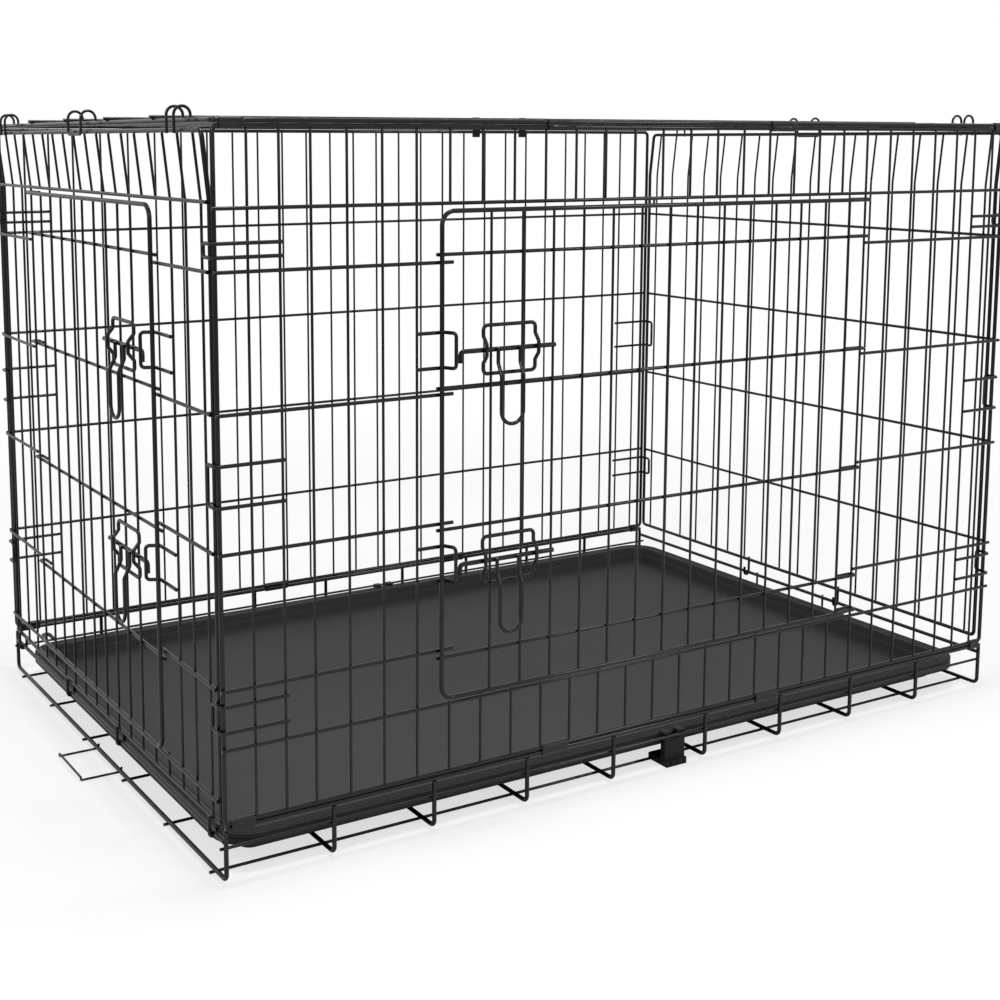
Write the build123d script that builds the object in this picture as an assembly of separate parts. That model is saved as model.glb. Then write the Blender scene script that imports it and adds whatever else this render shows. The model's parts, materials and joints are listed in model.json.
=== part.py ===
from build123d import *
from math import atan, degrees
import os

# A folding wire dog crate: a base, a lift-off tray, four hinged walls, two doors with
# sliding bolts and a hinged roof. X runs along the crate, Y across it and Z up. The tray
# leaves at -X and the long door is in the front wall, at -Y. Pieces are drawn about the
# middle of the four posts, and written with the origin on the floor under the middle of
# the crate's overall box. Sizes are in millimetres.

# ---- Wire sizes ----
frame_wire = 4.8        # wall frames, roof frame and door frames
row_wire = 3.8          # horizontal wires of every grid
grid_wire = 2.8         # close-set wires of every grid
base_wire = 4.8         # cross wires and rails of the base
floor_wire = 3.2        # long wires under the tray and beside it
hook_wire = 3.8         # corner hooks, hinge hooks and bolt receivers
roof_hook_wire = 3.0
bolt_wire = 5.0
keeper_wire = 4.0       # keepers and bolt handles
stop_wire = 2.6

# ---- Fits ----
touch = 0.02            # between wires that lie against each other
butt_gap = 0.05         # between a wire's end and the wire it is welded to
weld_bite = 0.3         # how far crossing wires of one grid sink into each other
rail_gap = 0.35         # between a wall's rail and the rail that it is clipped to
hinge_play = 0.4        # round a door's hinge wire
bolt_play = 0.35        # between a bolt and the wires it slides through
clip_play = 0.1         # between a clip and the rails inside it
clip_sheet = 1.0        # thickness of a clip's sheet
stub = 3.5              # how far a row's end passes the post it is welded to

# ---- Overall sizes, between wire centres ----
length = 1080.0         # between the long walls' posts
width = 716.0           # between the long walls
wall_bottom = 63.5
wall_top = 735.0
frame_bend = 6.0        # corner radius of the wall and roof frames

# ---- Grids ----
corner_pitch = 33.0     # the first wires next to a corner
corner_wires = 3        # how many of them stand at the left corner
pitch_wires = 24        # wires at the regular pitch
right_corner = 88.6     # from the last of them to the right corner
inner_row = 67.0        # rows above and below the middle of the wall
outer_row = 201.0
header_row = 260.0      # rows above and below the front door
end_wires = 18
end_margin = 17.0       # from an end's post to its first close-set wire

# ---- End walls ----
end_inset = 9.0         # end posts stand this far inside the long walls
end_stub = 2.9
end_drop = 4.0          # an end's top rail is this much below the long walls'
end_foot_drop = 3.5     # and the left end's bottom rail below theirs
end_lean = 7.0          # the top of an end leans out by this much
lean_bend = 60.0
header_drop = 70.0      # from the long walls' top rail to the row above the end door
sill_rise = 21.5        # from their bottom rail to the row below the end door
right_foot_rise = 5.0
left_pivot_drop = 13.55     # from the base's side rails to the wire the left end folds on
right_pivot_drop = 10.35

# ---- Doors ----
door_bend = 14.0
door_arm_bend = 8.0     # where a door's frame steps out from its hinge
opening_index = 3        # index of the wire at the front door's free side
hinge_index = 19         # index of the wire that the front door hangs on
front_free_gap = 24.6   # between the opening's wire and the door's free side
front_door_half = 252.5
door_outer_row = 209.0  # the door's rows clear the wall's rows
door_inner_row = 73.5
end_opening_index = 2
end_hinge_index = 14
end_free_gap = 36.9
end_door_margin = 6.5   # between the end door and the rows above and below it
end_door_shift = 0.5    # the end door hangs this much low
door_stub = 3.5
first_door_wire = 59.4  # from the door's free side to its first close-set wire
hairpin_tail = 20.0
stop_stub = 16.0        # wall rows reach this far behind the front door
end_stop_stub = 5.0

# ---- Bolts, keepers and receivers; depths run inward from the door's free side ----
bolt_height = 110.5     # bolts above and below the middle of the wall
bolt_tip = 17.0
bolt_end = 136.0
tip_drop = 11.5
rod_lift = 1.3          # between a bolt and the door's grid
keeper_near = 48.0
keeper_far = 112.0
keeper_half = 25.0
kink_start = 14.0       # where a keeper's side begins to step over the bolt
kink_top = 6.0
handle_near = 62.4
handle_far = 89.4
handle_drop = 77.0
handle_step = 6.5       # the handle's lower part stands off by this much more
handle_step_top = 14.0
handle_step_end = 27.0
receiver_up = 20.0
receiver_down = 16.0
receiver_foot = 5.5
receiver_bar = 11.5
hook_bend = 4.0         # of receivers and corner hooks
receiver_bend = 3.0
bolt_bend = 4.0
handle_bend = 5.0
keeper_bend = 5.0
kink_foot_bend = 2.5
kink_top_bend = 3.0

# ---- Corner hooks ----
hook_root_index = 2      # the close-set wire where a corner hook starts
hook_reach = 6.0        # how far a hook passes behind the end's post
low_hook = (-242.25, -216.25)   # heights about the middle of the wall
middle_hook = (-21.25, 18.75)
high_hook = (214.75, 227.75)

# ---- Base ----
cross_middle_gap = 134.6    # between the two middle cross wires
cross_inset = 0.7       # from a corner post to the outermost cross wire
cross_pairs = 5
cross_bend = 7.0
strut_bend = 3.3
side_wire_drop = 21.35      # from the side rails to the inner side wires
floor_inner = 70.0      # the floor wires' distances from the middle
floor_second = 201.0
floor_edge = 32.0       # from the long wall to the outermost floor wire
strut_index = 0           # this pair of floor wires bends up to the right end's rail
left_inner_hooks = (-59.0, 122.0)
right_hinge_hooks_y = (-100.0, 90.0)
outer_hook_inset = 20.0     # from an end's post to its outer hinge hooks
hinge_hook_play = 0.1
hinge_hook_tail = 8.0
foot_x = 27.0
foot_length = 30.0
foot_clear = 1.0        # between a foot's lip and the tray
foot_lip = 8.0
foot_heel = 4.0         # how far a foot reaches past its wire

# ---- Clips ----
clip_bay_index = (8, 16)    # bays of the close-set wires that hold the long clips
clip_clear = 1.0

# ---- Tray ----
tray_clear = 15.0       # from the long walls
tray_end_clear = 9.0    # and from the ends
tray_lift = 0.2
tray_top = 38.0
tray_sheet = 2.0
tray_rim = 18.0
tray_skirt = 12.0
tray_corner = 55.0
tray_edge = 1.0
tray_draft = 8.0        # how far the pan's walls lean out from its floor to its rim

# ---- Tray stop ----
stop_y = (-45.0, 35.0)
stop_reach = 44.0
stop_play = 0.2
stop_upstand = 3.2
stop_bend = 1.5

# ---- Roof ----
roof_rows = (70.0, 208.0)
hook_pair_inset = 70.0  # from a long wall to the middle of a pair of hooks
pair_spacing = 19.0
loop_width = 44.0
roof_hook_out = 13.0    # the outer leg stands this far outside the roof's end wire
roof_hook_rise = 5.0
roof_hook_bottom = 728.0

# ---- Carry handle ----
handle_clip_x = (-71.0, -3.0)
handle_clip_width = 12.0
handle_clip_drop = 17.0
grip_reach = 44.0
grip_width = 16.0
grip_sheet = 5.0
grip_bend = 5.0
grip_lift = 0.3         # between the grip and the roof's cross wires
clip_ring = 3.0         # wall of a handle clip
clip_bore_play = 0.15

# ---- Worked out from the sizes above ----
half_length = length / 2
half_width = width / 2
wall_middle = (wall_bottom + wall_top) / 2
base_rail = wall_bottom - frame_wire / 2 - rail_gap - base_wire / 2
end_top, end_bottom = wall_top - end_drop, wall_bottom - end_foot_drop
end_header, end_sill = wall_top - header_drop, wall_bottom + sill_rise
end_door_top = end_header - end_door_margin - end_door_shift
end_door_bottom = end_sill + end_door_margin - end_door_shift
right_bottom = wall_bottom + right_foot_rise
left_pivot, right_pivot = base_rail - left_pivot_drop, base_rail - right_pivot_drop
row_out = frame_wire / 2 + touch + row_wire / 2
grid_out = row_out - (row_wire + grid_wire) / 2 + weld_bite
door_hairpin = (grid_wire + row_wire) / 2 + hinge_play
frame_hairpin = (grid_wire + frame_wire) / 2 + hinge_play
door_row_out = grid_out + door_hairpin
door_grid_out = door_row_out + (row_wire + grid_wire) / 2 - weld_bite
door_frame_out = door_row_out + (row_wire + frame_wire) / 2 + touch
receiver_out = grid_out + (grid_wire + hook_wire) / 2 + touch
keeper_out = door_grid_out + (grid_wire + keeper_wire) / 2 + touch
rod_out = door_grid_out + grid_wire / 2 + rod_lift + bolt_wire / 2
kink_out = rod_out + (bolt_wire + keeper_wire) / 2 + bolt_play
handle_out = rod_out + (bolt_wire + keeper_wire) / 2 - weld_bite
bar_out = rod_out + (bolt_wire + hook_wire) / 2 + bolt_play

grid_start = -half_length + corner_wires * corner_pitch
pitch = (half_length - right_corner - grid_start) / (pitch_wires - 1)
regular_x = [grid_start + i * pitch for i in range(pitch_wires)]
left_x = [-half_length + (i + 1) * corner_pitch for i in range(corner_wires - 1)]
right_x = [regular_x[-1] + (i + 1) * corner_pitch for i in range(corner_wires - 1)]
wall_x = left_x + regular_x + right_x
opening_x = regular_x[opening_index]
hinge_x = regular_x[hinge_index]
front_door_width = hinge_x - opening_x - front_free_gap

end_half = half_width - end_inset
end_pitch = (2 * end_half - 2 * end_margin) / (end_wires - 1)
end_y = [-end_half + end_margin + i * end_pitch for i in range(end_wires)]
end_opening_y = end_y[end_opening_index]
end_hinge_y = end_y[end_hinge_index]
end_door_width = end_hinge_y - end_opening_y - end_free_gap

wall_rows = [wall_middle + z for z in (-outer_row, -inner_row, inner_row, outer_row)]
door_rows = [wall_middle + z for z in (-door_outer_row, -door_inner_row,
                                       door_inner_row, door_outer_row)]
upper_bolt = wall_middle + bolt_height
lower_bolt = wall_middle - bolt_height

side_wire_height = base_rail - side_wire_drop
cross_height = floor_wire + touch + base_wire / 2
cross_reach = half_length - cross_inset - cross_middle_gap / 2
cross_pitch = cross_reach / (cross_pairs - 1)
floor_y = (floor_inner, floor_second, half_width - floor_edge)
outer_hook_y = end_half - outer_hook_inset
left_hinge_hooks_y = (-outer_hook_y, *left_inner_hooks, outer_hook_y)
hook_pairs_y = (hook_pair_inset - half_width, half_width - hook_pair_inset)
roof_height = wall_top + frame_wire + rail_gap


# ---- Wires and panels ----
def rod(start, end, size):
    """A straight wire from start to end."""
    start, end = Vector(*start), Vector(*end)
    along = end - start
    return Solid.make_cylinder(size / 2, along.length, Plane(origin=start, z_dir=along))


def bent(points, size, bends, closed=False):
    """A wire bent through points, with one bend radius or a list of them."""
    path = FilletPolyline(*[Vector(*p) for p in points], radius=bends, close=closed)
    section = Plane(origin=path @ 0, z_dir=path % 0) * Circle(size / 2)
    return sweep(section, path=path).solid()


def fused(wires):
    """Wires that are welded where they cross, as one solid."""
    return wires[0].fuse(*wires[1:]).solid()


def front_wall(along, out, z):
    return (along, -half_width - out, z)


def back_wall(along, out, z):
    return (along, half_width + out, z)


def left_wall(along, out, z):
    return (-half_length - out, along, z)


def right_wall(along, out, z):
    return (half_length + out, along, z)


def roof_plane(along, out, y):
    return (along, y, roof_height + out)


def front_door(across, out, z):
    """Across runs from the hinge wire to the door's free side."""
    return front_wall(hinge_x - across, out, z)


def end_door(across, out, z):
    return left_wall(end_hinge_y - across, out, z)


def placed(place, points):
    return [place(*p) for p in points]


def frame_loop(place, low, high, bottom, top):
    corners = [(low, 0, bottom), (high, 0, bottom), (high, 0, top), (low, 0, top)]
    middle = ((low + high) / 2, 0, bottom)
    return bent(placed(place, [middle] + corners[1:] + corners[:1]), frame_wire,
                [0] + [frame_bend] * 4, closed=True)


def grid(place, across, rows, bottom, top, row_start, row_end, lean=0):
    """Close-set wires from bottom to top, fused to rows from row_start to row_end."""
    uprights = [rod(place(a, grid_out, bottom), place(a, grid_out + lean, top), grid_wire)
                for a in across]
    crossings = [rod(place(row_start, row_out, z), place(row_end, row_out, z), row_wire)
                 for z in rows]
    return fused(crossings + uprights)


def below(rail):
    """Where a close-set wire ends under a frame rail."""
    return rail - frame_wire / 2 - butt_gap


def above(rail):
    return rail + frame_wire / 2 + butt_gap


# ---- Doors ----
def door_frame(place, door_width, bottom, top):
    """A U of thick wire whose two ends hook round the hinge wire."""
    bend = frame_hairpin - butt_gap
    inner, outer = grid_out - frame_hairpin, grid_out + frame_hairpin

    def arm(z):
        return [(hairpin_tail, inner, z), (-frame_hairpin, inner, z),
                (-frame_hairpin, outer, z), (hairpin_tail / 2, outer, z),
                (1.5 * hairpin_tail, door_frame_out, z)]

    lower = arm(bottom) + [(door_width, door_frame_out, bottom)]
    upper = arm(top) + [(door_width, door_frame_out, top)]
    bends = [bend, bend, door_arm_bend, door_arm_bend, door_bend]
    return bent(placed(place, lower + upper[::-1]), frame_wire, bends + bends[::-1])


def door_row(place, door_width, z):
    """A row whose end hooks round the hinge wire."""
    inner, outer = grid_out - door_hairpin, door_row_out
    points = [(hairpin_tail, inner, z), (-door_hairpin, inner, z),
              (-door_hairpin, outer, z), (door_width + door_stub, outer, z)]
    return bent(placed(place, points), row_wire, door_hairpin - butt_gap)


def door_grid(place, door_width, bottom, top):
    rows = [door_row(place, door_width, z) for z in door_rows]
    count = int((door_width - first_door_wire - pitch / 2) // pitch) + 1
    across = [door_width - first_door_wire - i * pitch for i in range(count)]
    uprights = [rod(place(a, door_grid_out, above(bottom)),
                    place(a, door_grid_out, below(top)), grid_wire) for a in across]
    return fused(rows + uprights)


def keeper(place, door_width, z):
    """A wire loop on the door's grid whose two sides step over the bolt."""
    near, far = door_width - keeper_near, door_width - keeper_far

    def side(depth, way):
        heights = [(keeper_out, -keeper_half), (keeper_out, -kink_start),
                   (kink_out, -kink_top), (kink_out, kink_top),
                   (keeper_out, kink_start), (keeper_out, keeper_half)]
        return [(depth, out, z + way * h) for out, h in heights]

    middle = ((near + far) / 2, keeper_out, z + keeper_half)
    points = [middle] + side(far, -1) + side(near, 1)
    side_bends = [keeper_bend, kink_foot_bend, kink_top_bend]
    bends = [0] + (side_bends + side_bends[::-1]) * 2
    return bent(placed(place, points), keeper_wire, bends, closed=True)


def bolt(place, door_width, z):
    """A sliding bolt with its tip bent down and a hanging U handle."""
    tip = door_width - bolt_tip - bolt_wire / 2
    shank = bent(placed(place, [(tip, rod_out, z - tip_drop), (tip, rod_out, z),
                                (door_width - bolt_end, rod_out, z)]), bolt_wire,
                 bolt_bend)
    lower_out = handle_out + handle_step

    def arm(depth):
        heights = [(handle_out, keeper_wire / 2), (handle_out, -handle_step_top),
                   (lower_out, -handle_step_end), (lower_out, -handle_drop)]
        return [(door_width - depth, out, z + h) for out, h in heights]

    loop_bend = (handle_far - handle_near) / 2 - butt_gap
    bends = [handle_bend, handle_bend, loop_bend]
    handle = bent(placed(place, arm(handle_near) + arm(handle_far)[::-1]), keeper_wire,
                  bends + bends[::-1])
    return fused([shank, handle])


def receiver(place, door_width, free_gap, z):
    """A wire staple on the wall that the bolt's tip slides behind."""
    root = door_width + free_gap + hook_wire / 2
    foot, bar = door_width - receiver_foot, door_width - receiver_bar
    points = [(root, receiver_out, z + receiver_up), (foot, receiver_out, z + receiver_up),
              (bar, bar_out, z + receiver_up), (bar, bar_out, z - receiver_down),
              (foot, receiver_out, z - receiver_down), (root, receiver_out, z - receiver_down)]
    return bent(placed(place, points), hook_wire,
                [receiver_bend, hook_bend, hook_bend, receiver_bend])


# ---- Long walls ----
def corner_hook(place, way, heights):
    """A wire hook from the wall's grid round the corner post and the end's post."""
    root_x = left_x[hook_root_index - 1] if way < 0 else right_x[-hook_root_index]
    root = root_x - way * hook_wire / 2
    corner = way * (half_length + receiver_out)
    tip = -end_inset - hook_reach
    low, high = wall_middle + heights[0], wall_middle + heights[1]
    points = [(root, receiver_out, low), (corner, receiver_out, low), (corner, tip, low),
              (corner, tip, high), (corner, receiver_out, high), (root, receiver_out, high)]
    return bent(placed(place, points), hook_wire,
                [receiver_out, hook_bend, hook_bend, receiver_out])


def corner_hooks(place, way):
    return [corner_hook(place, way, heights)
            for heights in (low_hook, middle_hook, high_hook)]


def front_wall_parts():
    row_end = half_length + stub
    header, sill = wall_middle + header_row, wall_middle - header_row
    side_top = header - row_wire / 2 - butt_gap
    side_bottom = sill + row_wire / 2 + butt_gap
    header_foot = side_top + butt_gap
    sill_head = side_bottom - butt_gap
    left_wires = [x for x in wall_x if x <= opening_x]
    right_wires = [x for x in wall_x if x >= hinge_x]
    stop_end = opening_x + front_free_gap + stop_stub
    hinge_end = hinge_x - row_wire / 2
    return {
        "front_frame": [frame_loop(front_wall, -half_length, half_length, wall_bottom,
                                   wall_top)],
        "front_left_grid": [grid(front_wall, left_wires, wall_rows, side_bottom, side_top,
                                 -row_end, stop_end)],
        "front_right_grid": [grid(front_wall, right_wires, wall_rows, side_bottom,
                                  side_top, hinge_end, row_end)],
        "front_header_grid": [grid(front_wall, wall_x, [header], header_foot,
                                   below(wall_top), -row_end, row_end)],
        "front_sill_grid": [grid(front_wall, wall_x, [sill], above(wall_bottom),
                                 sill_head, -row_end, row_end)],
        "front_left_corner_hooks": corner_hooks(front_wall, -1),
        "front_right_corner_hooks": corner_hooks(front_wall, 1),
        "front_bolt_receivers": [receiver(front_door, front_door_width, front_free_gap, z)
                                 for z in (lower_bolt, upper_bolt)],
    }


def back_wall_parts():
    row_end = half_length + stub
    return {
        "back_frame": [frame_loop(back_wall, -half_length, half_length, wall_bottom,
                                  wall_top)],
        "back_grid": [grid(back_wall, wall_x, wall_rows, above(wall_bottom),
                           below(wall_top), -row_end, row_end)],
        "back_left_corner_hooks": corner_hooks(back_wall, -1),
        "back_right_corner_hooks": corner_hooks(back_wall, 1),
    }


def door_parts(name, place, door_width, bottom, top):
    return {
        name + "_door_frame": [door_frame(place, door_width, bottom, top)],
        name + "_door_grid": [door_grid(place, door_width, bottom, top)],
        name + "_upper_keeper": [keeper(place, door_width, upper_bolt)],
        name + "_lower_keeper": [keeper(place, door_width, lower_bolt)],
        name + "_upper_bolt": [bolt(place, door_width, upper_bolt)],
        name + "_lower_bolt": [bolt(place, door_width, lower_bolt)],
    }


# ---- End walls ----
def end_frame(place, bottom):
    """An end's frame, which leans out above its header row."""
    side = [(end_half, 0, bottom), (end_half, 0, end_header),
            (end_half, end_lean, end_top)]
    other = [(-a, out, z) for a, out, z in side[::-1]]
    bends = [frame_bend, lean_bend, frame_bend]
    return bent(placed(place, [(0, 0, bottom)] + side + other), frame_wire,
                [0] + bends + bends[::-1], closed=True)


def hinge_hook(place, along, pivot, rail, wire_below):
    """A J of wire welded to an end's rail that turns round a wire of the base."""
    out = (wire_below + hook_wire) / 2 + hinge_hook_play
    points = [(along, out, rail + frame_wire / 2), (along, out, pivot - out),
              (along, -out, pivot - out), (along, -out, pivot + hinge_hook_tail)]
    return bent(placed(place, points), hook_wire, out - butt_gap)


def left_end_parts():
    row_end = end_half + end_stub
    side_top = end_header - row_wire / 2 - butt_gap
    side_bottom = end_sill + row_wire / 2 + butt_gap
    front_wires = [y for y in end_y if y <= end_opening_y]
    rear_wires = [y for y in end_y if y >= end_hinge_y]
    stop_end = end_opening_y + end_free_gap + end_stop_stub
    hinge_end = end_hinge_y - row_wire / 2
    return {
        "left_end_frame": [end_frame(left_wall, end_bottom)],
        "left_end_front_grid": [grid(left_wall, front_wires, wall_rows, side_bottom,
                                     side_top, -row_end, stop_end)],
        "left_end_rear_grid": [grid(left_wall, rear_wires, wall_rows, side_bottom,
                                    side_top, hinge_end, row_end)],
        "left_end_header_grid": [grid(left_wall, end_y, [end_header], side_top + butt_gap,
                                      below(end_top), -row_end, row_end, end_lean)],
        "left_end_sill_grid": [grid(left_wall, end_y, [end_sill], above(end_bottom),
                                    side_bottom - butt_gap, -row_end, row_end)],
        "left_hinge_hooks": [hinge_hook(left_wall, y, left_pivot, end_bottom, base_wire)
                             for y in left_hinge_hooks_y],
        "left_bolt_receivers": [receiver(end_door, end_door_width, end_free_gap, z)
                                for z in (lower_bolt, upper_bolt)],
    }


def right_end_parts():
    row_end = end_half + end_stub
    foot_z, head_z = above(right_bottom), below(end_top)
    uprights = [bent(placed(right_wall, [(y, grid_out, foot_z), (y, grid_out, end_header),
                                         (y, grid_out + end_lean, head_z)]),
                     grid_wire, lean_bend) for y in end_y]
    rows = [rod(right_wall(-row_end, row_out, z), right_wall(row_end, row_out, z),
                row_wire) for z in wall_rows]
    return {
        "right_end_frame": [end_frame(right_wall, right_bottom)],
        "right_end_grid": [fused(rows + uprights)],
        "right_hinge_hooks": [hinge_hook(right_wall, y, right_pivot, right_bottom,
                                         base_wire) for y in right_hinge_hooks_y],
    }


# ---- Clips that join rails ----
def clip(low_x, high_x, y, lower, upper):
    """Sheet wrapped round two rails, one above the other."""
    middle = (lower + upper) / 2
    bore = frame_wire + 2 * clip_play
    section = SlotCenterToCenter(upper - lower, bore + 2 * clip_sheet)
    section -= SlotCenterToCenter(upper - lower, bore)
    plane = Plane(origin=(low_x, y, middle), x_dir=(0, 0, 1), z_dir=(1, 0, 0))
    return extrude(plane * section, high_x - low_x).solid()


def clips(y, lower, upper):
    """Two long clips along the wall and a short one at each corner."""
    clear = grid_wire / 2 + clip_clear / 2
    spans = [(regular_x[bay - 1] + clear, regular_x[bay] - clear)
             for bay in clip_bay_index]
    spans.append((-half_length + frame_bend, left_x[0] - clear))
    spans.append((right_x[-1] + clear, half_length - frame_bend))
    return [clip(low, high, y, lower, upper) for low, high in spans]


# ---- Base ----
def cross_row():
    """Places along the crate of the base's cross wires."""
    right = [cross_middle_gap / 2 + i * cross_pitch for i in range(cross_pairs)]
    return [-x for x in right[::-1]] + right


def cross_wire(x):
    """A U of wire across the floor, up to the side rails at both ends."""
    top = base_rail - base_wire / 2 - butt_gap
    points = [(x, -half_width, top), (x, -half_width, cross_height),
              (x, half_width, cross_height), (x, half_width, top)]
    return bent(points, base_wire, cross_bend)


def foot(way):
    """A plastic foot that snaps on a long floor wire, with a notched lip by the tray."""
    wire_y = floor_y[-1]
    inner = half_width - tray_clear + foot_clear
    outer = inner + foot_lip
    sole_top = cross_height + base_wire / 2 - touch
    grip = (Align.CENTER, Align.MAX, Align.MIN)
    sole = Box(foot_length, outer - wire_y + foot_heel, sole_top, align=grip)
    lip = Box(foot_length, foot_lip, tray_top + foot_clear, align=grip)
    body = Pos(foot_x, outer, 0) * (sole + lip)
    slot_size = floor_wire + 2 * touch
    body -= Pos(foot_x, wire_y, 0) * Box(2 * foot_length, slot_size, slot_size,
                                         align=(Align.CENTER, Align.CENTER, Align.MIN))
    body -= Pos(foot_x, inner, tray_top + foot_clear) * Box(
        foot_length / 3, 4 * foot_lip, foot_length / 2)
    body = body.solid()
    return body if way > 0 else body.mirror(Plane.XZ)


def base_parts():
    cross_x = cross_row()
    reach = cross_x[-1] + base_wire
    inner_y = half_width - base_wire / 2 - floor_wire / 2 - touch
    inner_post = half_width - base_wire / 2 - butt_gap
    straight = [y for i, y in enumerate(floor_y) if i != strut_index]
    floor = [rod((-reach, way * y, floor_wire / 2), (reach, way * y, floor_wire / 2),
                 floor_wire) for y in straight for way in (-1, 1)]
    strut_x = half_length + base_wire / 2 + floor_wire / 2 + touch
    strut_y = floor_y[strut_index]
    floor += [bent([(-reach, way * strut_y, floor_wire / 2),
                    (strut_x, way * strut_y, floor_wire / 2),
                    (strut_x, way * strut_y, right_pivot + base_wire / 2)],
                   floor_wire, strut_bend) for way in (-1, 1)]
    return {
        "base_cross_wires": [cross_wire(x) for x in cross_x],
        "base_floor_wires": floor,
        "base_side_rails": [rod((-half_length, y, base_rail), (half_length, y, base_rail),
                                base_wire) for y in (-half_width, half_width)],
        "base_side_wires": [rod((-reach, y, side_wire_height), (reach, y, side_wire_height),
                                floor_wire) for y in (-inner_y, inner_y)],
        "base_left_end_wire": [rod((-half_length, -inner_post, left_pivot),
                                   (-half_length, inner_post, left_pivot), base_wire)],
        "base_right_end_rail": [rod((half_length, -inner_post, right_pivot),
                                    (half_length, inner_post, right_pivot), base_wire)],
        "front_hinge_clips": clips(-half_width, base_rail, wall_bottom),
        "back_hinge_clips": clips(half_width, base_rail, wall_bottom),
        "base_feet": [foot(-1), foot(1)],
    }


# ---- Tray and its stop ----
def tray_block(inset, low, high, flare=0):
    size_x = length - 2 * tray_end_clear - 2 * inset
    size_y = width - 2 * tray_clear - 2 * inset
    outline = RectangleRounded(size_x, size_y, tray_corner - inset)
    return Pos(0, 0, low) * extrude(outline, high - low, taper=-flare)


def tray():
    """A pan with leaning walls and a flat rim turned down into a skirt."""
    bottom = cross_height + base_wire / 2 + tray_lift
    flare = degrees(atan(tray_draft / (tray_top - bottom)))
    pan = tray_block(tray_rim + tray_draft, bottom, tray_top, flare)
    rim = tray_block(0, tray_top - tray_skirt, tray_top)
    rim -= tray_block(tray_sheet, tray_top - tray_skirt, tray_top - tray_sheet)
    hollow = tray_block(tray_rim + tray_draft + tray_sheet, bottom + tray_sheet,
                        tray_top, flare)
    body = (pan + rim - hollow).solid()
    top_edges = body.edges().filter_by(
        lambda e: abs(e.center().Z - tray_top) < 0.01 and e.bounding_box().size.Z < 0.01)
    return fillet(top_edges, tray_edge).solid()


def tray_stop():
    """A loop of wire whose two ends cradle the first cross wire of the base."""
    x = cross_row()[0]
    cradle = (base_wire + stop_wire) / 2 + stop_play
    low = cross_height - cradle
    outer = x - stop_reach

    def arm(y):
        return [(x + cradle, y, cross_height + stop_wire / 2), (x + cradle, y, low),
                (outer, y, low), (outer, y, low + stop_upstand)]

    near, far = arm(stop_y[0]), arm(stop_y[1])
    bends = [cradle - butt_gap, stop_bend, stop_bend]
    return bent(near + far[::-1], stop_wire, bends + bends[::-1])


# ---- Roof ----
def hook_profile(y, way):
    """Points from under the roof's end wire, over it and down outside the end."""
    inner = -(frame_wire + roof_hook_wire) / 2 - touch
    crown = roof_hook_rise + (roof_hook_out - inner) / 2
    return [(way * (half_length + inner), y, roof_height - frame_wire / 2),
            (way * (half_length + inner), y, roof_height + crown),
            (way * (half_length + roof_hook_out), y, roof_height + crown),
            (way * (half_length + roof_hook_out), y, roof_hook_bottom)]


def roof_hooks(way):
    inner = -(frame_wire + roof_hook_wire) / 2 - touch
    bend = (roof_hook_out - inner) / 2 - butt_gap
    spots = [pair + side * pair_spacing / 2 for pair in hook_pairs_y for side in (-1, 1)]
    hooks = [bent(hook_profile(y, way), roof_hook_wire, bend) for y in spots]
    loop = hook_profile(-loop_width / 2, way) + hook_profile(loop_width / 2, way)[::-1]
    bends = [bend, bend, hook_bend]
    hooks.append(bent(loop, roof_hook_wire, bends + bends[::-1]))
    return hooks


def roof_parts():
    row_end = half_length + stub
    cross_end = half_width - frame_wire / 2 - butt_gap
    rows = [way * y for y in roof_rows for way in (-1, 1)]
    return {
        "roof_frame": [frame_loop(roof_plane, -half_length, half_length, -half_width,
                                  half_width)],
        "roof_grid": [grid(roof_plane, wall_x, rows, -cross_end, cross_end, -row_end,
                           row_end)],
        "roof_left_hooks": roof_hooks(-1),
        "roof_right_hooks": roof_hooks(1),
        "roof_hinge_clips": clips(-half_width, wall_top, roof_height),
    }


# ---- Carry handle ----
def handle_clip(x, wire_y, wire_z, bore):
    """A plastic ring on the roof's wire with a leaf that hangs inside."""
    ring = Cylinder(bore + clip_ring, handle_clip_width) - Cylinder(bore, handle_clip_width)
    leaf = Pos(0, 0, -bore) * Box(handle_clip_width, clip_ring, handle_clip_drop,
                                  align=(Align.CENTER, Align.CENTER, Align.MAX))
    return (Pos(x, wire_y, wire_z) * (Rotation(0, 90, 0) * ring + leaf)).solid()


def carry_handle():
    """A flat plastic grip whose two clips turn on a long wire of the roof."""
    wire_y = -roof_rows[0]
    wire_z = roof_height + row_out
    bore = row_wire / 2 + clip_bore_play
    low_x, high_x = handle_clip_x
    middle, spacing = (low_x + high_x) / 2, high_x - low_x
    root_y = wire_y - bore - clip_ring / 2
    low_z = roof_height + grid_out + grid_wire / 2 + grip_lift
    strap = Pos(middle, root_y - grip_reach / 2, low_z) * extrude(
        RectangleRounded(spacing + handle_clip_width, grip_reach, grip_bend), grip_sheet)
    window = Pos(middle, root_y - grip_reach / 2 + grip_width, low_z) * extrude(
        RectangleRounded(spacing - handle_clip_width, grip_reach, grip_bend), grip_sheet)
    clip_bodies = [handle_clip(x, wire_y, wire_z, bore) for x in handle_clip_x]
    grip = (strap - window).solid().cut(*clip_bodies).solid()
    return grip, clip_bodies


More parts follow.
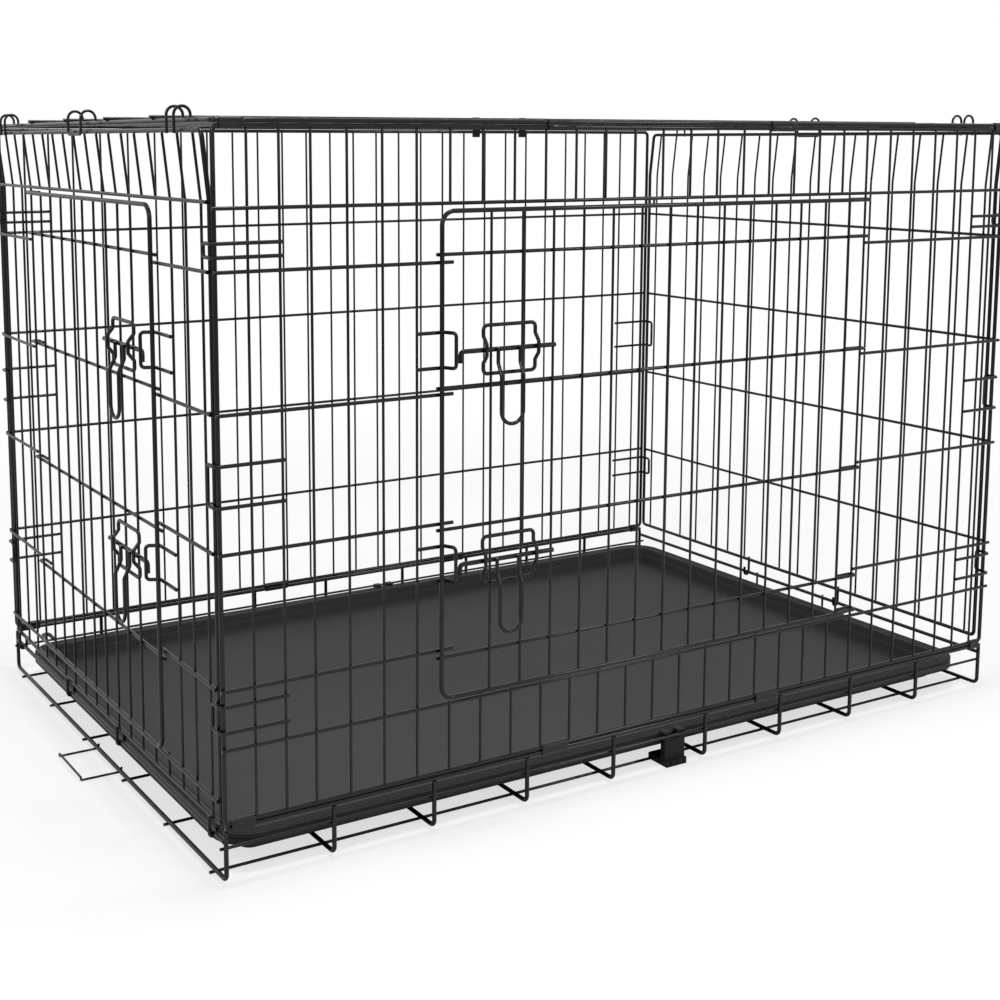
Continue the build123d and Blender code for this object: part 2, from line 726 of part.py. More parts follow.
# ---- The whole crate, one file for each piece or set of alike pieces ----
def crate():
    parts = {}
    parts.update(base_parts())
    parts["tray"] = [tray()]
    parts["tray_stop"] = [tray_stop()]
    parts.update(front_wall_parts())
    parts.update(door_parts("front", front_door, front_door_width,
                            wall_middle - front_door_half, wall_middle + front_door_half))
    parts.update(back_wall_parts())
    parts.update(left_end_parts())
    parts.update(door_parts("end", end_door, end_door_width, end_door_bottom, end_door_top))
    parts.update(right_end_parts())
    parts.update(roof_parts())
    grip, clip_bodies = carry_handle()
    parts["carry_handle_grip"] = [grip]
    parts["carry_handle_clips"] = clip_bodies
    return parts


def to_origin():
    """From the middle of the posts to the middle of the overall box."""
    left = cross_row()[0] - stop_reach - stop_wire / 2
    right = half_length + roof_hook_out + roof_hook_wire / 2
    front = -half_width - handle_out - handle_step - keeper_wire / 2
    back = half_width + receiver_out + hook_wire / 2
    return Pos(-(left + right) / 2, -(front + back) / 2, 0)


os.makedirs("parts", exist_ok=True)
move = to_origin()
for name, solids in crate().items():
    solids = [move * solid for solid in solids]
    shape = solids[0] if len(solids) == 1 else Compound(children=solids)
    export_step(shape, "parts/" + name + ".step")
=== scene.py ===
# %% [markdown]
# # A folding wire dog crate, dressed for its portrait
# The crate's wires, doors and hinges come in from the CAD model and stay as they are. This
# lesson gives them their black coating, and models what a wire drawing is too plain for:
# the moulded tray, the crimped sheet clips, the snap-on feet and the carry handle.

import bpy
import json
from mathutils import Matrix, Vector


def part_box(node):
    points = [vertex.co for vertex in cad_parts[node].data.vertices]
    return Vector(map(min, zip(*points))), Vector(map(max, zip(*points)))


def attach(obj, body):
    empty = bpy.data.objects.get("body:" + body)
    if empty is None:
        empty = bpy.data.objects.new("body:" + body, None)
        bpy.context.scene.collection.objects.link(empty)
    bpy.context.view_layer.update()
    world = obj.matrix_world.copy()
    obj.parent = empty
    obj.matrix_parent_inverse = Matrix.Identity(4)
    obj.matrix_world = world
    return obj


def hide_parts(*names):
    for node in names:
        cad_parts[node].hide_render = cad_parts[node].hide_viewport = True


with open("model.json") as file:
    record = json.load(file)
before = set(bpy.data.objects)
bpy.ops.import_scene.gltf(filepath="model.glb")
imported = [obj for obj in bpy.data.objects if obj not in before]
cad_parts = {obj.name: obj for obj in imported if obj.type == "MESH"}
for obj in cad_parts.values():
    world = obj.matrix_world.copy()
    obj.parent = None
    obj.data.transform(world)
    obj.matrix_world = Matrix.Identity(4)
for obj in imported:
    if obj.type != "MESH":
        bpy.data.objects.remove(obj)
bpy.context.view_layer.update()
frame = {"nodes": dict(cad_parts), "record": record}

# %% Other modules and the size of the CAD model
import bmesh
import bpy
import json
from math import cos, pi, radians, sin
from mathutils import Vector

# %% [markdown]
# ## The camera
# A crate this long is best seen from a little above its top rail, off its left front
# corner, with a short telephoto lens that keeps the posts upright. The view is lowered with
# a small shift of the lens, as on a studio camera, and not by tilting it.

# %% Camera
camera_place = Vector((-1.0746, -1.6597, 0.7201))
camera_yaw, camera_pitch = 0.5372, -0.1354
lens_length, sensor = 55.062, 36.0      # both in millimetres
lens_shift = (0.07, -0.15)
forward = Vector((sin(camera_yaw) * cos(camera_pitch),
                  cos(camera_yaw) * cos(camera_pitch), sin(camera_pitch)))
bpy.ops.object.camera_add(location=camera_place,
                          rotation=forward.to_track_quat("-Z", "Y").to_euler())
camera = bpy.context.object
camera.data.sensor_width = sensor
camera.data.lens = lens_length
camera.data.shift_x, camera.data.shift_y = lens_shift
bpy.context.scene.camera = camera
print("lens", round(camera.data.lens, 1), "mm")

# %% [markdown]
# ## Light, floor and backdrop
# A black crate is lit by soft boxes on a white sweep, so that each wire has one long quiet
# highlight. The sky's own light fills the shadows. A long narrow lamp overhead and a small
# square one at each side do the rest: a lamp that is small for its power gives a glossy
# coating a brighter line of light than a wide one. The sweep looks white because it is white
# to the camera, and the lamps stay at a level that keeps the coating's colour true.

# %% Studio lamps
def soft_box(name, place, aim, width, depth, watts):
    """A rectangular lamp at a place, turned to a point."""
    bpy.ops.object.light_add(type="AREA", location=place)
    lamp = bpy.context.object
    lamp.name = name
    lamp.data.shape = "RECTANGLE"
    lamp.data.size, lamp.data.size_y = width, depth
    lamp.data.energy = watts
    lamp.rotation_euler = (Vector(aim) - Vector(place)).to_track_quat("-Z", "Y").to_euler()
    return lamp


middle = Vector((0, 0, 0.35))
soft_box("overhead", (-0.1, -0.3, 2.5), middle, 0.9, 0.35, 37)
soft_box("left_front", (-2.4, -1.6, 1.9), middle, 0.4, 0.4, 14)
soft_box("right_front", (1.8, -2.4, 1.8), middle, 0.4, 0.4, 11)

# %% [markdown]
# ## Shader sums written as sums
# A finish is a small network of nodes. Written out link by link it hides its own idea, so
# one class wraps a socket and lets Python's signs add the Math nodes. A second holds a tree
# of nodes and has the one method that adds any other node, with its settings first and its
# inputs after. A finish is such a tree with a shader at its end.

# %% A socket that can be added and multiplied
class Socket:
    """A number that a node gives, which can be added, multiplied and so on."""

    def __init__(self, network, output):
        self.network, self.output = network, output

    def math(self, operation, other, turned=False):
        values = {0: other, 1: self} if turned else {0: self, 1: other}
        return self.network.node("ShaderNodeMath", {"operation": operation}, values)

    def __add__(self, other):
        return self.math("ADD", other)

    def __sub__(self, other):
        return self.math("SUBTRACT", other)

    def __rsub__(self, other):
        return self.math("SUBTRACT", other, True)

    def __mul__(self, other):
        return self.math("MULTIPLY", other)

    def __or__(self, other):
        """The larger of two shares, so that one or the other is enough."""
        return self.math("MAXIMUM", other)

    __radd__ = __add__
    __rmul__ = __mul__


print("sockets take + - * and |")

# %% [markdown]
# A tree could be filled by a function for each kind of node, but they would all do the same
# three things: add the node, set its choices, and fill or link its sockets. So there is one
# method for all kinds, and the sky uses it as well as the materials.

# %% A network of nodes
class Network:
    """A tree of nodes, and the one method that adds a node to it."""

    def __init__(self, tree):
        self.nodes, self.links = tree.nodes, tree.links

    def node(self, kind, settings=None, inputs=None, output=0):
        made = self.nodes.new(kind)
        for setting, value in (settings or {}).items():
            setattr(made, setting, value)
        for socket, value in (inputs or {}).items():
            self.feed(made.inputs[socket], value)
        return Socket(self, made.outputs[output])

    def feed(self, socket, value):
        if isinstance(value, Socket):
            self.links.new(value.output, socket)
        else:
            socket.default_value = value

    def show(self, output_node, surface):
        """Sends a shader to the tree's output."""
        self.feed(self.nodes[output_node].inputs["Surface"], surface)


print("networks have one method for every node")

# %% [markdown]
# A finish is a material's network. It starts with the piece's own coordinates, so that a
# pattern stays on the piece when a door swings or the tray slides. The helpers are the four
# steps that come up in every finish: a noise, a soft threshold, a blend and a bump.

# %% A finish
class Finish(Network):
    """A material with its own shader, and the few patterns that all finishes use."""

    def __init__(self, name, **constants):
        self.material = bpy.data.materials.new(name)
        self.material.use_nodes = True
        super().__init__(self.material.node_tree)
        self.shader = self.nodes["Principled BSDF"]
        for socket, value in constants.items():
            self.shader.inputs[socket.replace("_", " ")].default_value = value
        self.place = self.node("ShaderNodeTexCoord", output="Object")

    def set(self, socket, value):
        self.feed(self.shader.inputs[socket], value)

    def noise(self, scale, detail=3.0, roughness=0.5, place=None):
        return self.node("ShaderNodeTexNoise", {}, {
            "Vector": place or self.place, "Scale": scale, "Detail": detail,
            "Roughness": roughness})

    def between(self, value, low, high, to_low=0.0, to_high=1.0):
        """A smooth step of a value from one range to another."""
        return self.node("ShaderNodeMapRange", {"interpolation_type": "SMOOTHSTEP"}, {
            "Value": value, "From Min": low, "From Max": high,
            "To Min": to_low, "To Max": to_high})

    def blend(self, share, first, second):
        """A colour between two, by a share from 0 to 1."""
        return self.node("ShaderNodeMix", {"data_type": "RGBA"}, {
            "Factor": share, "A": self.colour(first), "B": self.colour(second)},
            output="Result")

    def colour(self, value):
        return value if isinstance(value, Socket) else (*value, 1)

    def bump(self, height, distance, strength=1.0):
        self.set("Normal", self.node("ShaderNodeBump", {}, {
            "Height": height, "Distance": distance, "Strength": strength}))


print("finishes read the piece's own coordinates")

# %% [markdown]
# ## The floor and the sky
# The floor is a plain matt sheet. To the camera a share of it is replaced by an even white,
# so that it stays white where it is lit and still darkens where the crate shades it. Far
# from the crate that share grows to the whole. The sky is white to the camera and in
# reflections, and a soft grey to everything that it lights.

# %% Floor
floor_grey = 0.9
near_white, far_white = 0.68, 1.0
fade_start, fade_end = 0.9, 2.2
floor_size, under_feet = 60, 0.0004

bpy.ops.object.select_all(action="DESELECT")
bpy.ops.mesh.primitive_plane_add(size=floor_size, location=(0, 0, -under_feet))
floor = bpy.context.object
floor.name = "studio_floor"
paper = Finish("white_sweep", Base_Color=(floor_grey, floor_grey, floor_grey, 1),
               Roughness=0.9, Specular_IOR_Level=0.1)
glow = paper.node("ShaderNodeEmission", {}, {"Color": (1, 1, 1, 1), "Strength": 1.0})
from_middle = paper.node("ShaderNodeVectorMath", {"operation": "LENGTH"},
                         {0: paper.place}, output="Value")
share = paper.between(from_middle, fade_start, fade_end, near_white, far_white)
to_camera = paper.node("ShaderNodeLightPath", output="Is Camera Ray")
paper.show("Material Output", paper.node("ShaderNodeMixShader", {}, {
    0: share * to_camera, 1: Socket(paper, paper.shader.outputs[0]), 2: glow}))
floor.data.materials.append(paper.material)
print("floor", floor.name)

# %% Sky
sky_light = 0.56
sky = bpy.data.worlds.new("studio_sky")
bpy.context.scene.world = sky
sky.use_nodes = True
air = Network(sky.node_tree)
white = (1, 1, 1, 1)
lit = air.node("ShaderNodeBackground", {}, {"Color": white, "Strength": sky_light})
seen = air.node("ShaderNodeBackground", {}, {"Color": white, "Strength": 1.0})
straight, mirrored, through = [air.node("ShaderNodeLightPath", output=ray) for ray in
                               ("Is Camera Ray", "Is Glossy Ray", "Is Transmission Ray")]
air.show("World Output", air.node("ShaderNodeMixShader", {}, {
    0: straight | mirrored | through, 1: lit, 2: seen}))
bpy.context.scene.view_settings.view_transform = "Standard"
print("sky lights at", sky_light)

# %% [markdown]
# ## The black coating of the wire
# The welded panels are dipped and baked in black paint. It is satin, a shade uneven along
# each wire where it ran and pooled, and pitted by fine dust. A thin coat on top gives the
# narrow grey line of light on each level wire. Small spots have rubbed to a dull grey.

# %% Coated wire
coating = Finish("black_coated_wire", Coat_Weight=0.5, Coat_Roughness=0.06,
                 Specular_IOR_Level=0.06)
runs = coating.noise(34, 4)
dust = coating.noise(950, 3, 0.6)
rubbed = coating.between(coating.noise(120, 5, 0.62), 0.66, 0.74)
black = coating.blend(runs, (0.0015, 0.0015, 0.0017), (0.0045, 0.0045, 0.0048))
coating.set("Base Color", coating.blend(rubbed * 0.5, black, (0.03, 0.03, 0.0295)))
coating.set("Roughness", 0.3 + 0.14 * runs + 0.12 * rubbed)
coating.bump(dust + 0.6 * runs, 0.00012, 0.5)
print("finish", coating.material.name)

# %% [markdown]
# ## The clips' sheet steel
# The clips are stamped from painted strip and rolled shut round two rails. Their paint is
# a little duller than the wire's, with fine scratches along the crate where the rolls and
# the rails have rubbed it. A noise stretched along X draws the scratches.

# %% Clip sheet
strip = Finish("painted_clip_sheet", Coat_Weight=0.3, Coat_Roughness=0.12,
               Specular_IOR_Level=0.14)
along = strip.node("ShaderNodeMapping", {}, {"Vector": strip.place,
                                             "Scale": (0.06, 1.0, 1.0)})
scratches = strip.between(strip.noise(1400, 3, 0.6, along), 0.56, 0.7)
blotches = strip.noise(90, 4)
dull = strip.blend(blotches, (0.005, 0.005, 0.0056), (0.012, 0.012, 0.013))
strip.set("Base Color", strip.blend(scratches * 0.35, dull, (0.05, 0.05, 0.051)))
strip.set("Roughness", 0.36 + 0.16 * blotches + 0.1 * scratches)
strip.bump(blotches + 0.4 * scratches, 0.0001, 0.5)
print("finish", strip.material.name)

# %% [markdown]
# ## The tray's moulded plastic
# The tray is vacuum-formed from black sheet with a fine leathery grain, which makes it
# look dark grey under a broad light. Cells of two sizes give the grain. A slow noise gives
# the cloudy sheen of a big thin sheet, and a stretched one the faint scuffs of the wires
# that it slides over. Above the floor the walls and the rim are painted darker, a painted
# dark reflection of the wires around them, and they are made a little shinier.

# %% Tray plastic
sheet = 0.002
floor_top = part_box("tray")[0].z + sheet
plastic = Finish("tray_plastic_painted_dark_walls", Specular_IOR_Level=0.1)
grain = plastic.node("ShaderNodeTexVoronoi", {"feature": "SMOOTH_F1"}, {
    "Vector": plastic.place, "Scale": 620, "Smoothness": 0.6}, output="Distance")
fine_grain = plastic.noise(1500, 3, 0.6)
cloud = plastic.noise(3.2, 4, 0.55)
lengthwise = plastic.node("ShaderNodeMapping", {}, {"Vector": plastic.place,
                                                    "Scale": (0.05, 1.0, 1.0)})
scuffs = plastic.between(plastic.noise(240, 4, 0.6, lengthwise), 0.6, 0.78)
grey = plastic.blend(cloud, (0.037, 0.0382, 0.0398), (0.047, 0.0483, 0.0503))
grey = plastic.blend(grain * 0.45, grey, (0.03, 0.031, 0.0325))
height = plastic.node("ShaderNodeSeparateXYZ", {}, {0: plastic.place}, output="Z")
# Painted dark reflection: from just above the tray floor upwards, the walls and the rim get
# a darker colour.
painted_dark_walls = plastic.between(height, floor_top + 0.001, floor_top + 0.012)
grey = plastic.blend(painted_dark_walls * 0.8, grey, (0.012, 0.0125, 0.0135))
plastic.set("Base Color", plastic.blend(scuffs * 0.22, grey, (0.072, 0.073, 0.075)))
plastic.set("Roughness", 0.5 + 0.12 * cloud + 0.12 * grain - 0.06 * scuffs - 0.12 * painted_dark_walls)
plastic.bump(grain + 0.35 * fine_grain, 0.0003, 0.55)
print("finish", plastic.material.name)

# %% [markdown]
# ## The small mouldings
# Feet and handle are injection-moulded, so they are a deeper black than the tray and
# smoother. Their faces carry the fine orange-peel of a spark-cut mould, with a slightly
# paler bloom where fingers and floors have rubbed.

# %% Foot and handle plastic
def moulding(name, low, high, roughness):
    """Black injection-moulded plastic between two greys."""
    finish = Finish(name, Specular_IOR_Level=0.14)
    peel, bloom = finish.noise(1100, 2, 0.5), finish.noise(55, 4, 0.6)
    worn = finish.between(bloom, 0.52, 0.72)
    tint = finish.blend(bloom, (low, low, low * 1.03), (high, high, high * 1.03))
    finish.set("Base Color", finish.blend(worn * 0.35, tint, (0.035, 0.035, 0.035)))
    finish.set("Roughness", roughness + 0.12 * bloom + 0.05 * peel)
    finish.bump(peel + 0.5 * bloom, 0.00015, 0.5)
    return finish


foot_finish = moulding("foot_moulding", 0.006, 0.013, 0.42)
handle_finish = moulding("handle_moulding", 0.007, 0.014, 0.36)
print("finishes", foot_finish.material.name, handle_finish.material.name)

# %% [markdown]
# ## Painting the crate's own parts
# The record names a material slot for each part of the CAD model. One look-up gives every
# part its finish, so a part that is added later is painted too.

# %% Finishes for the CAD parts
finishes = {"black_wire": coating, "clip_sheet": strip, "tray_plastic": plastic,
            "foot_plastic": foot_finish, "handle_plastic": handle_finish}
slot_of = {row["node"]: row["material_slot"] for row in frame["record"]["subparts"]}
for node_name, part in frame["nodes"].items():
    part.data.materials.clear()
    part.data.materials.append(finishes[slot_of[node_name]].material)
print(len(slot_of), "parts painted")

# %% [markdown]
# ## Helpers for modelling
# Working by hand means adding a simple shape, selecting some of its faces and pushing them
# about. One helper starts a piece with nothing else selected. One selects by a test on each
# corner, edge or face, because a script has no mouse. Others push, cut and apply a modifier,
# and the last closes a piece: it gets its finish and rides on a body.

# %% Start and pick
nearly = 0.0001      # how close two lengths are that count as equal


def start(name, add, **settings):
    """Adds a primitive with nothing else selected, and opens it for editing."""
    bpy.ops.object.select_all(action="DESELECT")
    size = settings.pop("size_xyz", (1, 1, 1))
    add(**settings)
    piece = bpy.context.object
    piece.name = piece.data.name = name
    piece.scale = size
    bpy.ops.object.transform_apply(location=True, rotation=True, scale=True)
    bpy.ops.object.mode_set(mode="EDIT")
    bpy.ops.mesh.select_all(action="SELECT")
    return piece


def pick(kind, test):
    """Selects the corners, edges or faces of the edited mesh that pass a test."""
    bpy.ops.mesh.select_mode(type=kind)
    bpy.ops.mesh.select_all(action="DESELECT")
    mesh = bpy.context.object.data
    shape = bmesh.from_edit_mesh(mesh)
    parts = {"VERT": shape.verts, "EDGE": shape.edges, "FACE": shape.faces}[kind]
    chosen = [part for part in parts if test(part)]
    for part in chosen:
        part.select_set(True)
    shape.select_flush_mode()
    bmesh.update_edit_mesh(mesh)
    return len(chosen)


print("lengths within", nearly * 1000, "mm count as equal")

# %% Push, cut and modify
def push(x=0.0, y=0.0, z=0.0):
    """Extrudes what is selected and moves it."""
    bpy.ops.mesh.extrude_region_move(TRANSFORM_OT_translate={"value": (x, y, z)})


def cut(place, normal):
    """Cuts the whole edited mesh along a plane, and keeps both sides."""
    bpy.ops.mesh.select_all(action="SELECT")
    bpy.ops.mesh.bisect(plane_co=place, plane_no=normal)


def apply_modifier(piece, kind, **settings):
    modifier = piece.modifiers.new(kind.lower(), kind)
    for setting, value in settings.items():
        setattr(modifier, setting, value)
    bpy.ops.object.modifier_apply(modifier=modifier.name)


print("modifiers go into the mesh at once")

# %% Close a piece
def close(piece, finish, body, replaced, smooth=35):
    """Smooths a piece, paints it and hangs it on its body."""
    bpy.ops.object.select_all(action="DESELECT")
    piece.select_set(True)
    bpy.context.view_layer.objects.active = piece
    bpy.ops.object.shade_smooth_by_angle(angle=radians(smooth))
    piece.data.materials.clear()
    piece.data.materials.append(finish.material)
    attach(piece, body)
    if replaced:
        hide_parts(*replaced)
    print(piece.name, len(piece.data.polygons), "faces on", body)


# %% [markdown]
# ## The tray
# One sheet of plastic is drawn over a mould: a flat rim with three fine grooves that stiffen
# it, a leaning wall with a step, a level floor, and outside the rim a skirt with a groove.
# So it is made as the mould makes it, from one flat outline. Its face is inset and sunk
# step by step to the floor, its edge is drawn down to the skirt, and only then the sheet
# gets its thickness.

# %% Tray outline
tray_low, tray_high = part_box("tray")
tray_middle = (tray_low + tray_high) / 2
tray_size = tray_high - tray_low
corner_radius = 0.042
tray = start("tray_pan", bpy.ops.mesh.primitive_plane_add, size=1,
             location=(tray_middle.x, tray_middle.y, tray_high.z),
             size_xyz=(tray_size.x, tray_size.y, 1))
bpy.ops.mesh.bevel(offset=corner_radius, segments=12, affect="VERTICES")
print("tray", round(tray_size.x, 3), "by", round(tray_size.y, 3), "m")

# %% Rim, step, wall and floor
tray_drop = tray_size.z - sheet
rim_groove = [(0.0022, 0), (0.0008, -0.0009), (0.0007, 0), (0.0008, 0.0009)]
rim_steps = rim_groove * 3 + [(0.0040, 0)]
wall_shape = [(0.0008, 0.03), (0.0022, 0.27), (0.0008, 0.02), (0.0036, 0),
              (0.0010, 0.04), (0.0036, 0.52), (0.0016, 0.09), (0.0024, 0.03)]
wall_steps = [(inward, -share * tray_drop) for inward, share in wall_shape]
bpy.ops.mesh.select_all(action="SELECT")
for inward, upward in rim_steps + wall_steps:
    bpy.ops.mesh.inset(thickness=inward, depth=upward)
rim_width = sum(inward for inward, _ in rim_steps)
print("rim", round(rim_width * 1000, 1), "mm wide,",
      round(tray_drop * 1000, 1), "mm above the floor")

# %% Skirt
skirt_steps = [(0, 0.0036), (-0.0010, 0.0007), (0, 0.0012), (0.0010, 0.0007), (0, 0.0058)]
pick("EDGE", lambda edge: edge.is_boundary)
for outward, downward in skirt_steps:
    push(z=-downward)
    half = tray_size / 2
    bpy.ops.transform.resize(value=(1 + outward / half.x, 1 + outward / half.y, 1),
                             center_override=tray_middle)
bpy.ops.object.mode_set(mode="OBJECT")
print("skirt", round(sum(step[1] for step in skirt_steps) * 1000, 1), "mm deep")

# %% Thickness and soft edges
apply_modifier(tray, "SOLIDIFY", thickness=sheet, offset=-1)
apply_modifier(tray, "BEVEL", width=0.0006, segments=2, limit_method="ANGLE",
               angle_limit=radians(28))
close(tray, plastic, "tray", ["tray"], smooth=40)

# %% [markdown]
# ## The clips that hinge the walls
# A long wall hangs on its rail by strips of sheet that are rolled round both rods and
# crimped between them, with a slit where the edges meet on the inside. The roll begins as
# an open tube. Pulling its upper and lower halves apart makes it long enough for two rods,
# cuts give it a waist to squeeze and a slit to open, and Solidify gives the sheet its
# thickness on the outside, so that the rods keep their room.

# %% One clip
rod_room = 0.0025
sheet_steel = 0.001
waist_cuts = (-0.0013, -0.0004, 0.0004, 0.0013)
crimp_cuts = (0.12, 0.22, 0.42, 0.58, 0.78, 0.88)    # shares of the clip's length
crimps = ((0.2, 0.44), (0.56, 0.8))
squeezes = ((0.0005, 0.55), (0.0014, 0.78))          # up to this height, this narrow
slit_half = 0.0003


def rolled_clip(low_x, high_x, y, lower, upper):
    """A strip rolled round two rails, crimped in the middle and slit at the back."""
    waist, spread = (lower + upper) / 2, (upper - lower) / 2
    reach = high_x - low_x
    clip = start("clip", bpy.ops.mesh.primitive_cylinder_add, vertices=24,
                 radius=rod_room, depth=reach, end_fill_type="NOTHING",
                 location=((low_x + high_x) / 2, y, waist), rotation=(0, pi / 2, 0))
    for way in (1, -1):
        pick("VERT", lambda corner: (corner.co.z - waist) * way > nearly)
        bpy.ops.transform.translate(value=(0, 0, way * spread))
    for height in waist_cuts:
        cut((0, 0, waist + height), (0, 0, 1))
    for share in crimp_cuts:
        cut((low_x + share * reach, 0, 0), (1, 0, 0))
    for low, high in crimps:
        for height, squeeze in squeezes:
            pick("VERT", lambda corner: abs(corner.co.z - waist) < height
                 and low < (corner.co.x - low_x) / reach < high)
            bpy.ops.transform.resize(value=(1, squeeze ** 0.5, 1),
                                     center_override=(0, y, waist))
    back = 1 if y < 0 else -1
    pick("FACE", lambda face: abs(face.calc_center_median().z - waist) < slit_half
         and (face.calc_center_median().y - y) * back > 0)
    bpy.ops.mesh.delete(type="FACE")
    bpy.ops.object.mode_set(mode="OBJECT")
    apply_modifier(clip, "SOLIDIFY", thickness=sheet_steel, offset=1)
    apply_modifier(clip, "BEVEL", width=0.00022, segments=2, limit_method="ANGLE",
                   angle_limit=radians(40))
    return clip


def join(pieces, name):
    """Makes one object of several."""
    bpy.ops.object.select_all(action="DESELECT")
    for piece in pieces:
        piece.select_set(True)
    bpy.context.view_layer.objects.active = pieces[0]
    bpy.ops.object.join()
    joined = bpy.context.object
    joined.name = joined.data.name = name
    return joined


print("clip sheet", sheet_steel * 1000, "mm thick")

# %% A row of clips for each hinge
# The spans are where each clip begins and ends along the crate: the two at the corners,
# and the two that sit in the bays beside the middle.
corner_spans = [(-0.51895, -0.49385), (0.53435, 0.54905)]
bay_spans = [(-0.15245, -0.11745), (0.15795, 0.19295)]
for node_name, name, body in (("front_hinge_clips", "front_rolled_clips", "base"),
                              ("back_hinge_clips", "back_rolled_clips", "base"),
                              ("roof_hinge_clips", "roof_rolled_clips", "front_wall")):
    low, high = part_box(node_name)
    rail = (low.y + high.y) / 2
    end_round = rod_room + sheet_steel
    row = [rolled_clip(*span, rail, low.z + end_round, high.z - end_round)
           for span in corner_spans + bay_spans]
    close(join(row, name), strip, body, [node_name])

# %% [markdown]
# ## The snap-on feet
# A small black moulding grips the outer floor wire at the middle of each long side. Its
# sole stands on the floor, a ribbed block shows at the front, and two fingers reach up and
# hook over the tray's edge with a gap between them. It grows from one block: slices of its
# top are pushed up for the fingers, their tips are pushed inwards, and the wire's groove is
# cut out from below and closed with a bridge.

# %% Sole, fingers and hooks
feet_low, feet_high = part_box("base_feet")
foot_middle = (feet_low.x + feet_high.x) / 2
foot_long = feet_high.x - feet_low.x
foot_deep, sole_high, lip_deep = 0.030, 0.008, 0.008
finger_inner, hook_reach = 0.005, 0.0034
finger_root = feet_high.z - 0.0075
hook_under = tray_high.z + 0.0008
hook_top = hook_under + 0.0021
wire_inset, groove = 0.0260, 0.00164
block_cuts = (-0.0105, -0.0080, -0.0012, 0.0012, 0.0080, 0.0105)
block_out, groove_in, side_groove = 0.004, 0.0014, 0.00925
outer = feet_low.y
feet = start("snap_feet", bpy.ops.mesh.primitive_cube_add, size=1,
             location=(foot_middle, outer + foot_deep / 2, sole_high / 2),
             size_xyz=(foot_long, foot_deep, sole_high))
cut((0, outer + lip_deep, 0), (0, 1, 0))
for x in (-finger_inner, finger_inner):
    cut((foot_middle + x, 0, 0), (1, 0, 0))


def top_faces(height, fingers_only):
    """Selects the lip's top faces at a height, with or without the gap in the middle."""
    def chosen(face):
        middle = face.calc_center_median()
        beside_gap = abs(middle.x - foot_middle) > finger_inner
        return (abs(middle.z - height) < nearly and face.normal.z > 0.9
                and middle.y < outer + lip_deep and (beside_gap or not fingers_only))

    return pick("FACE", chosen)


top_faces(sole_high, False)
push(z=finger_root - sole_high)
for low, high in ((finger_root, hook_under), (hook_under, hook_top)):
    top_faces(low, True)
    push(z=high - low)
hooks = pick("FACE", lambda face: face.normal.y > 0.9
             and face.calc_center_median().z > hook_under)
push(y=hook_reach)
print(hooks, "hooks")

# %% Groove for the wire, and the ribbed block
wire_y = outer + wire_inset
for y in (-groove, groove):
    cut((0, wire_y + y, 0), (0, 1, 0))
cut((0, 0, 2 * groove), (0, 0, 1))


def in_groove(face):
    middle = face.calc_center_median()
    return (abs(middle.y - wire_y) < groove and middle.z < 2 * groove
            and abs(face.normal.y) < 0.1)


def open_end(edge):
    along = (edge.verts[0].co.x + edge.verts[1].co.x) / 2
    return edge.is_boundary and abs(abs(along - foot_middle) - foot_long / 2) < nearly


def block_front(face):
    return face.normal.y < -0.9 and face.calc_center_median().z < sole_high


def block_groove(face):
    aside = abs(face.calc_center_median().x - foot_middle)
    return block_front(face) and (abs(aside - side_groove) < 0.0005 or aside < 0.0005)


pick("FACE", in_groove)
bpy.ops.mesh.delete(type="FACE")
pick("EDGE", open_end)
bpy.ops.mesh.bridge_edge_loops()
for x in block_cuts:
    cut((foot_middle + x, 0, 0), (1, 0, 0))
pick("FACE", block_front)
push(y=-block_out)
ribs = pick("FACE", block_groove)
push(y=groove_in)
bpy.ops.mesh.select_all(action="SELECT")
bpy.ops.mesh.remove_doubles(threshold=0.00001)
bpy.ops.mesh.normals_make_consistent(inside=False)
print(ribs, "grooves in the block")

# %% The second foot, and soft edges
bpy.ops.mesh.select_all(action="SELECT")
bpy.ops.mesh.duplicate()
crate_y = (feet_low.y + feet_high.y) / 2
bpy.ops.transform.resize(value=(1, -1, 1), center_override=(foot_middle, crate_y, 0))
bpy.ops.mesh.select_all(action="SELECT")
bpy.ops.mesh.normals_make_consistent(inside=False)
bpy.ops.object.mode_set(mode="OBJECT")
apply_modifier(feet, "BEVEL", width=0.0007, segments=3, limit_method="ANGLE",
               angle_limit=radians(40))
close(feet, foot_finish, "base", ["base_feet"])

# %% [markdown]
# ## The carry handle
# A flat loop of plastic lies on the roof and turns up on one of its wires, so the folded
# crate can be carried like a case. It is drawn flat: a bar, two arms pushed out of its
# ends, then a push upwards for thickness. Rounding is left to two bevels, a wide one for
# the corners in plan and a small one for the hand. Two rings close round the wire.

# %% Grip
grip_low, grip_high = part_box("carry_handle_grip")
grip_middle = (grip_low + grip_high) / 2
bar_deep, arm_wide = 0.016, 0.012
arm_end_gap, corner_round = 0.0032, 0.005
handle = start("carry_handle", bpy.ops.mesh.primitive_plane_add, size=1,
               location=(grip_middle.x, grip_low.y + bar_deep / 2, grip_low.z),
               size_xyz=(grip_high.x - grip_low.x, bar_deep, 1))
for x in (grip_low.x + arm_wide, grip_high.x - arm_wide):
    cut((x, 0, 0), (1, 0, 0))


def arm_root(edge):
    ends = [corner.co for corner in edge.verts]
    in_bar = grip_low.x + arm_wide < (ends[0].x + ends[1].x) / 2 < grip_high.x - arm_wide
    return (edge.is_boundary and not in_bar
            and min(end.y for end in ends) > grip_low.y + bar_deep - nearly)


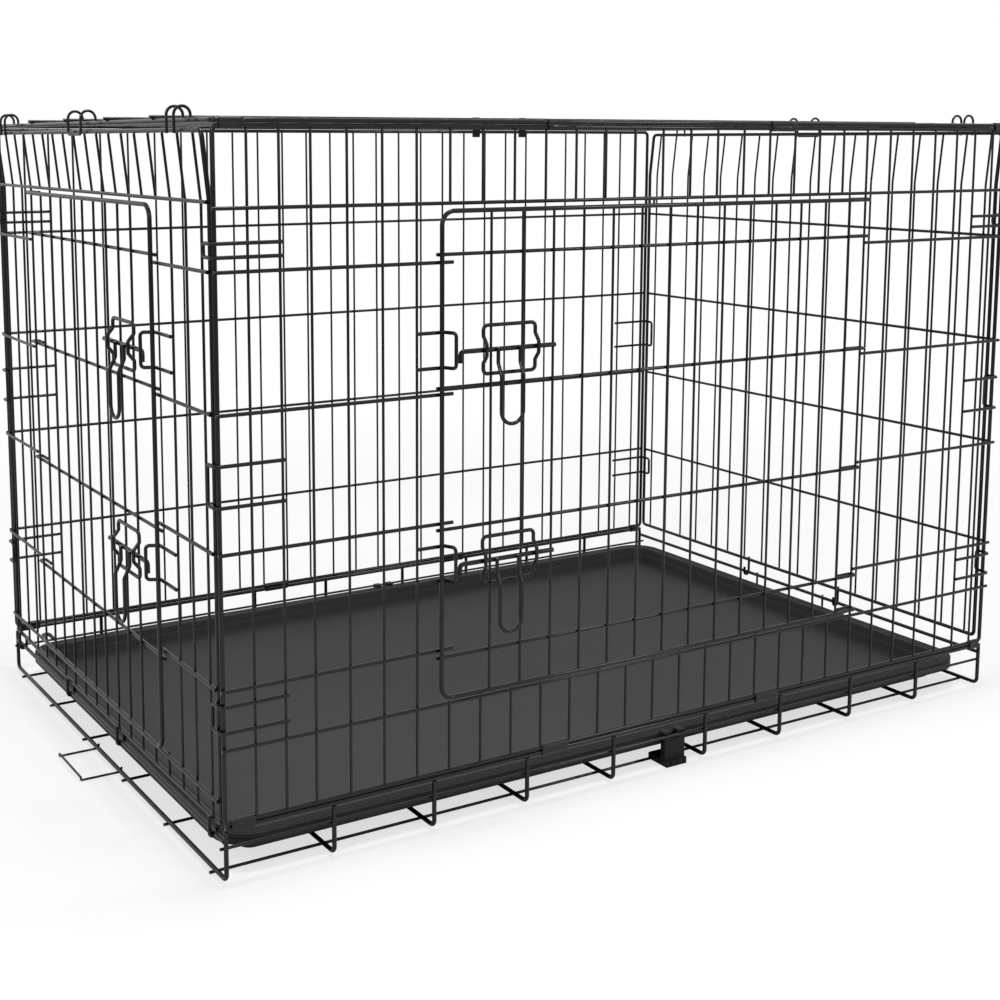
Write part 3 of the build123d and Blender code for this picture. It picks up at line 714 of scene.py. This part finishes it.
def bend(edge):
    """An upright edge at one of the grip's four bends, two outside and two inside."""
    foot, top = [corner.co for corner in edge.verts]
    upright = abs(foot.z - top.z) > 0.001
    outer_row = foot.y < grip_low.y + nearly
    inner_row = foot.y > grip_low.y + bar_deep - nearly
    outer_side = min(abs(foot.x - grip_low.x), abs(foot.x - grip_high.x)) < nearly
    return (upright and foot.y < grip_low.y + bar_deep + nearly
            and not (outer_row and grip_low.x + nearly < foot.x < grip_high.x - nearly)
            and not (inner_row and outer_side))


arms = pick("EDGE", arm_root)
push(y=grip_high.y - grip_low.y - bar_deep - arm_end_gap)
bpy.ops.mesh.select_all(action="SELECT")
push(z=grip_high.z - grip_low.z)
bpy.ops.mesh.select_all(action="SELECT")
bpy.ops.mesh.normals_make_consistent(inside=False)
corners = pick("EDGE", bend)
bpy.ops.mesh.bevel(offset=corner_round, segments=6)
bpy.ops.object.mode_set(mode="OBJECT")
apply_modifier(handle, "BEVEL", width=0.0014, segments=3, limit_method="ANGLE",
               angle_limit=radians(50))
print(arms, "arms,", corners, "rounded corners")

# %% Rings with their leaves
clip_low, clip_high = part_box("carry_handle_clips")
ring_wall, ring_bore, ring_side = 0.003, 0.00205, 0.0014
wire_z = clip_high.z - ring_wall - ring_bore
ring_y = (clip_low.y + clip_high.y) / 2
leaf_drop = wire_z - ring_bore - ring_wall - clip_low.z
rings = []
for x in (clip_low.x + arm_wide / 2, clip_high.x - arm_wide / 2):
    ring = start("ring", bpy.ops.mesh.primitive_cylinder_add, vertices=32,
                 radius=ring_bore, depth=arm_wide - 2 * ring_side, end_fill_type="NOTHING",
                 location=(x, ring_y, wire_z), rotation=(0, pi / 2, 0))
    bpy.ops.object.mode_set(mode="OBJECT")
    apply_modifier(ring, "SOLIDIFY", thickness=ring_wall, offset=1)
    bpy.ops.object.mode_set(mode="EDIT")
    pick("FACE", lambda face: face.normal.z < -0.9
         and face.calc_center_median().z < wire_z - ring_bore - 0.001)
    push(z=-leaf_drop * 0.8)
    push(z=-leaf_drop * 0.2)
    bpy.ops.object.mode_set(mode="OBJECT")
    apply_modifier(ring, "BEVEL", width=0.0004, segments=2, limit_method="ANGLE",
                   angle_limit=radians(40))
    rings.append(ring)
handle = join([handle] + rings, "carry_handle")
close(handle, handle_finish, "carry_handle", ["carry_handle_grip", "carry_handle_clips"])
